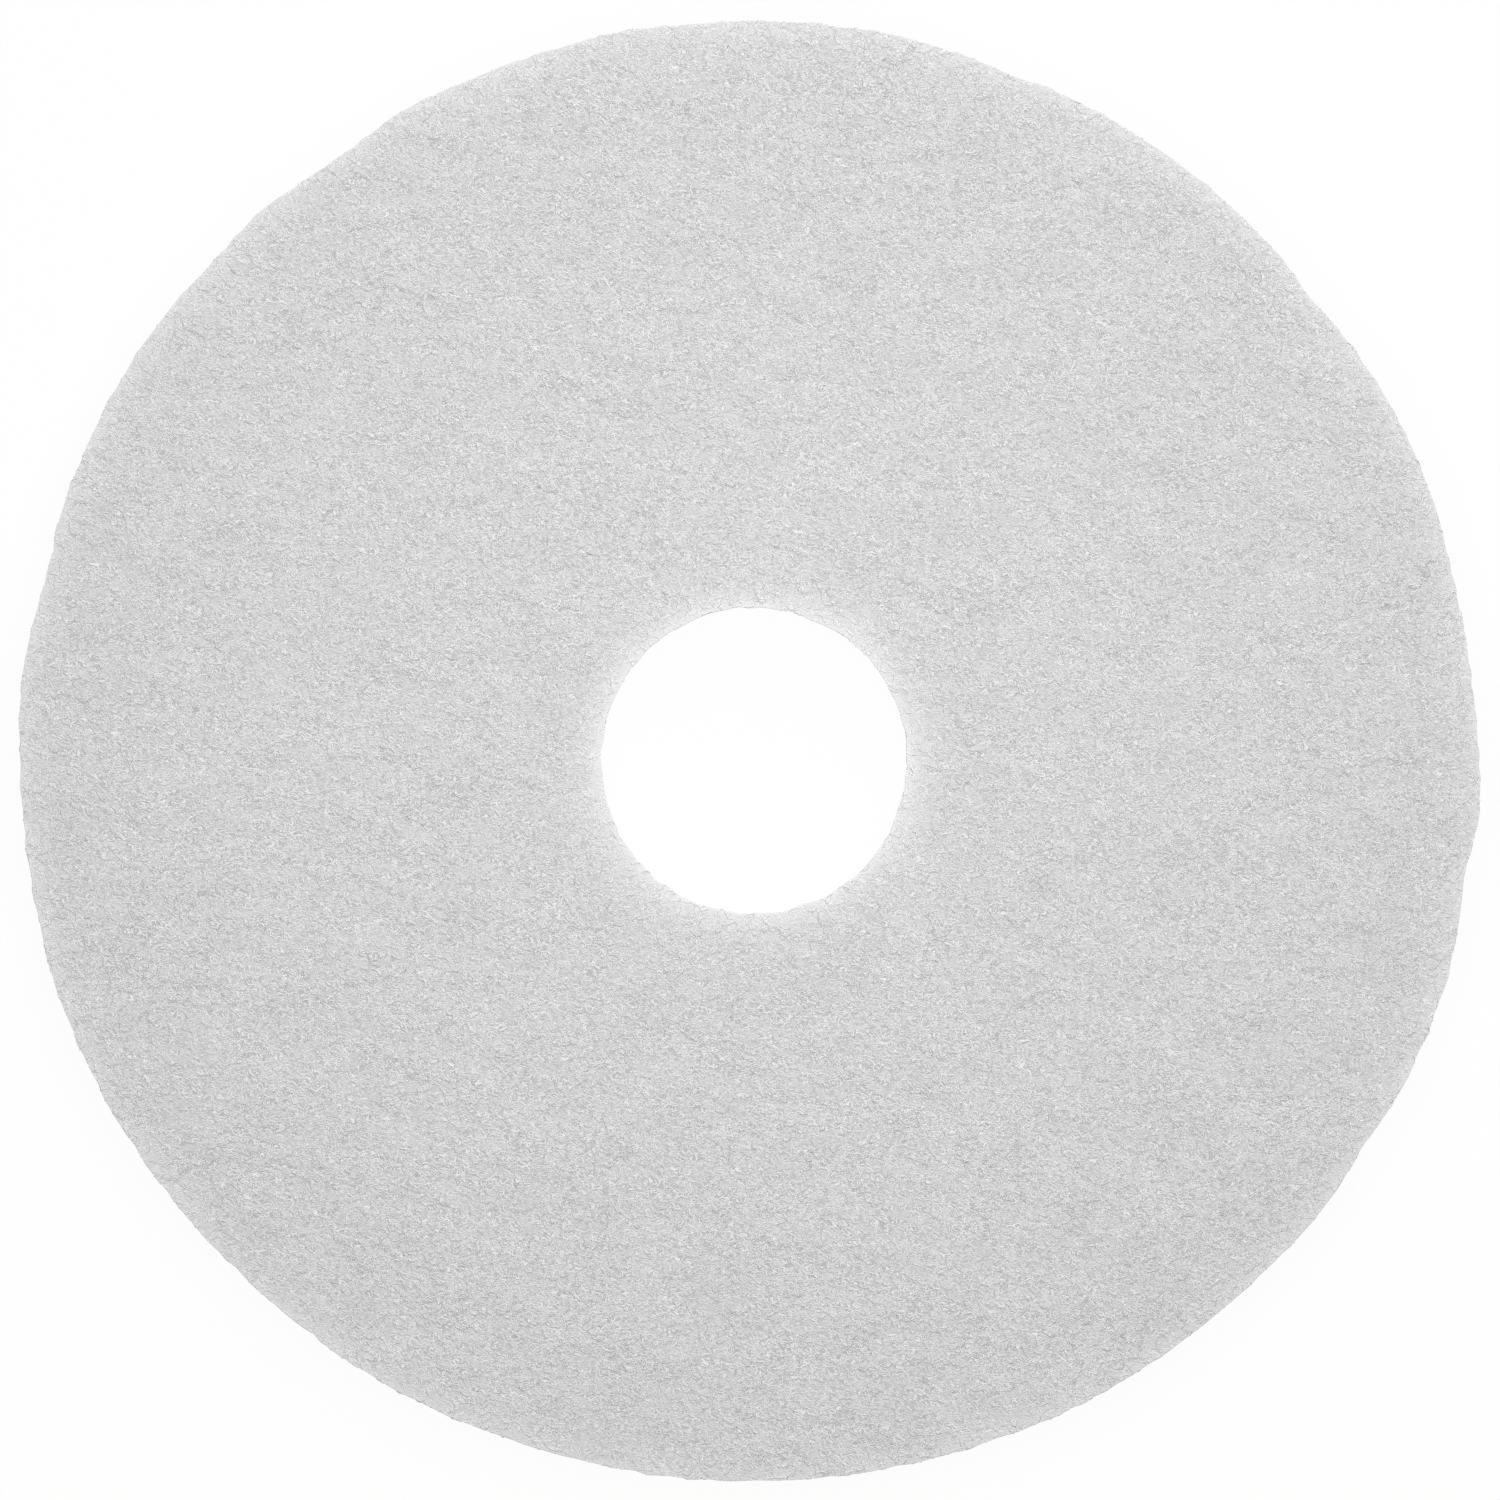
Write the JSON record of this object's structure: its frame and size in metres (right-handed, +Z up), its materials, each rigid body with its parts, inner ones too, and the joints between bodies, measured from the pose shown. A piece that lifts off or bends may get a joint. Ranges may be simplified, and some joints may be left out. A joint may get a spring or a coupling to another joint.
{
  "type": "floor polishing pad",
  "caption": "Thick round pad of white nonwoven fibre with a centre hole, for polishing hard floors with a rotary floor machine.",
  "frame": {"origin": "centre of the disc, in the plane of its lower face", "axes": "+Z up through the pad's thickness, +Y to the part of the rim that is at the top of the picture"},
  "size_m": [0.4327, 0.4324, 0.0254],
  "materials": {
    "white_fibre": "matt, open mat of crimped fibres"
  },
  "bodies": {
    "root": {"nonwoven_pad": "white_fibre"}
  },
  "joints": []
}
